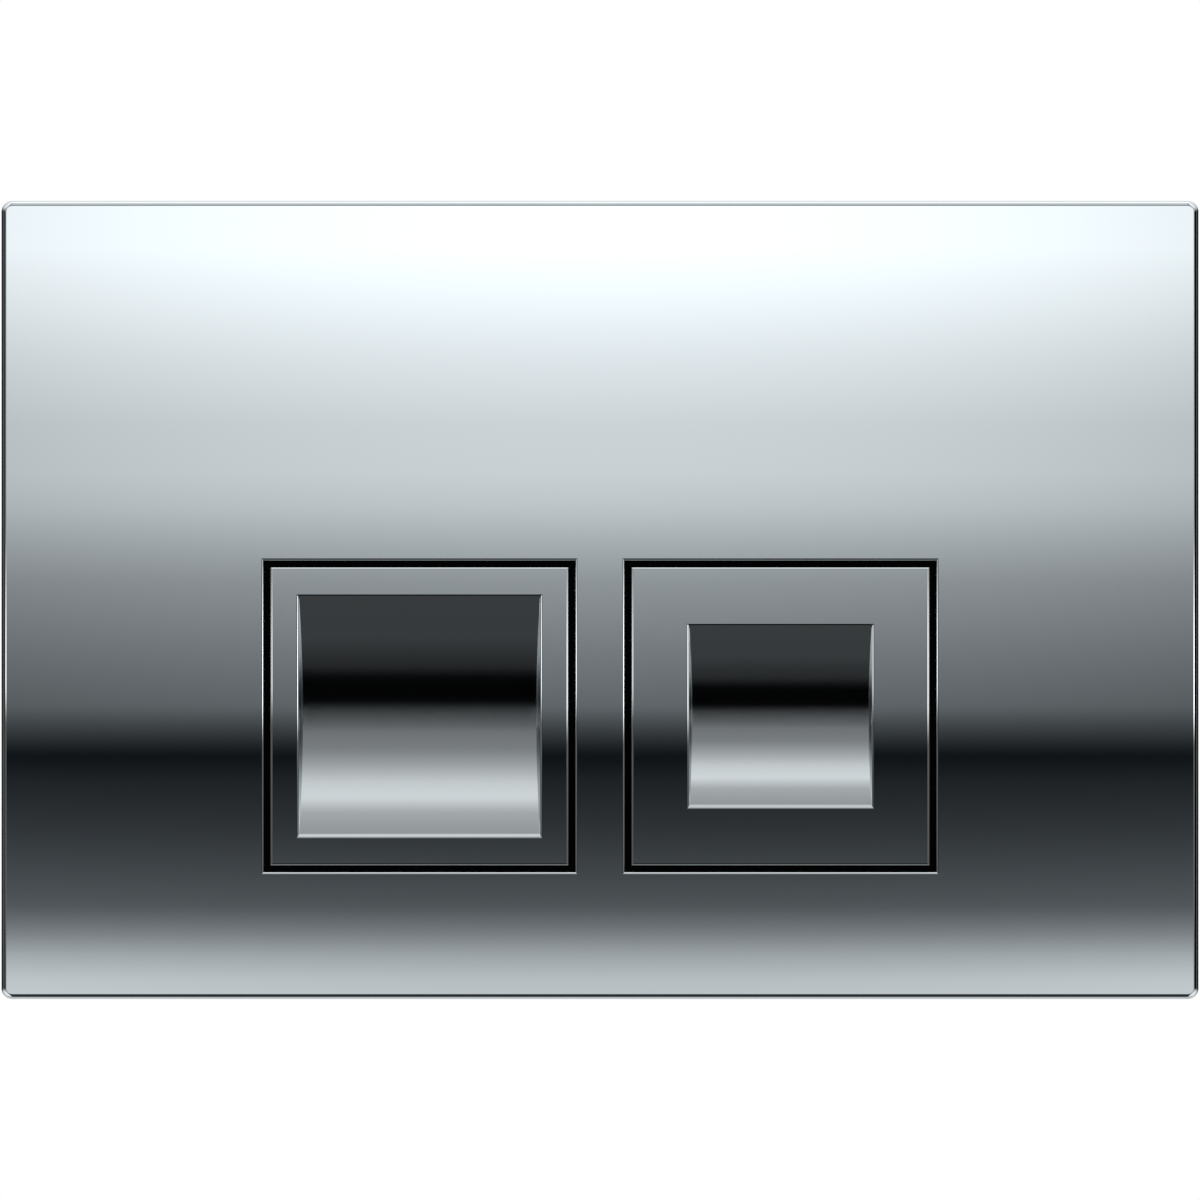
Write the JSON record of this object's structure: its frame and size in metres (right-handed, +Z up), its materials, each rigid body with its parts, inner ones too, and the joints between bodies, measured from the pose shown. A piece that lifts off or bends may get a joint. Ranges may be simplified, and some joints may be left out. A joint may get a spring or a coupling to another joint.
{
  "type": "flush button plate",
  "caption": "Rectangular chrome flush plate with square dished push buttons hinged at the top, on a wall frame that guides push rods to a concealed cistern.",
  "frame": {"origin": "middle of the plate's outline, on the wall face that the mounting frame rests against", "axes": "+X to the right as seen from the front, +Y into the wall so that the plate faces -Y, +Z up"},
  "size_m": [0.246, 0.0885, 0.164],
  "materials": {
    "chrome": "polished chrome plating on moulded plastic",
    "frame_plastic": "fine moulded texture, pale grey",
    "stud_plastic": "natural nylon",
    "rod_plastic": "smooth moulded acetal",
    "cap_plastic": "smooth moulded acetal, blue",
    "steel": "drawn stainless wire and rod",
    "rubber": "soft black rubber"
  },
  "bodies": {
    "plate": {"front_plate": "chrome", "mounting_frame": "frame_plastic", "fixing_studs": "stud_plastic", "fixing_nuts": "stud_plastic", "full_flush_hinge_pin": "steel", "part_flush_hinge_pin": "steel", "full_flush_return_spring": "steel", "part_flush_return_spring": "steel"},
    "full_flush_lever": {"full_flush_button": "chrome", "full_flush_stop_pad_left": "rubber", "full_flush_stop_pad_right": "rubber"},
    "part_flush_lever": {"part_flush_button": "chrome", "part_flush_stop_pad_left": "rubber", "part_flush_stop_pad_right": "rubber"},
    "full_flush_plunger": {"full_flush_push_rod": "rod_plastic", "full_flush_rod_cap": "cap_plastic", "full_flush_rod_clip": "cap_plastic"},
    "part_flush_plunger": {"part_flush_push_rod": "rod_plastic", "part_flush_rod_cap": "cap_plastic", "part_flush_rod_clip": "cap_plastic"}
  },
  "joints": [
    {"name": "full_flush_press", "type": "hinge", "parent": "plate", "child": "full_flush_lever", "pos_m": [-0.0371, -0.00505, 0.01355], "axis": [1, 0, 0], "range_deg": [0, 6], "stiffness_Nm_per_rad": 0.45, "springref_deg": -20.05, "deforming": ["full_flush_return_spring"]},
    {"name": "part_flush_press", "type": "hinge", "parent": "plate", "child": "part_flush_lever", "pos_m": [0.0371, -0.00505, 0.01355], "axis": [1, 0, 0], "range_deg": [0, 6], "stiffness_Nm_per_rad": 0.45, "springref_deg": -20.05, "deforming": ["part_flush_return_spring"]},
    {"name": "full_flush_rod_slide", "type": "slide", "parent": "plate", "child": "full_flush_plunger", "axis": [0, 1, 0], "range_m": [0, 0.00393]},
    {"name": "part_flush_rod_slide", "type": "slide", "parent": "plate", "child": "part_flush_plunger", "axis": [0, 1, 0], "range_m": [0, 0.00393]}
  ],
  "couplings": [
    {"joint": "full_flush_rod_slide", "follows": "full_flush_press", "m_per_rad": 0.03745},
    {"joint": "part_flush_rod_slide", "follows": "part_flush_press", "m_per_rad": 0.03745}
  ]
}
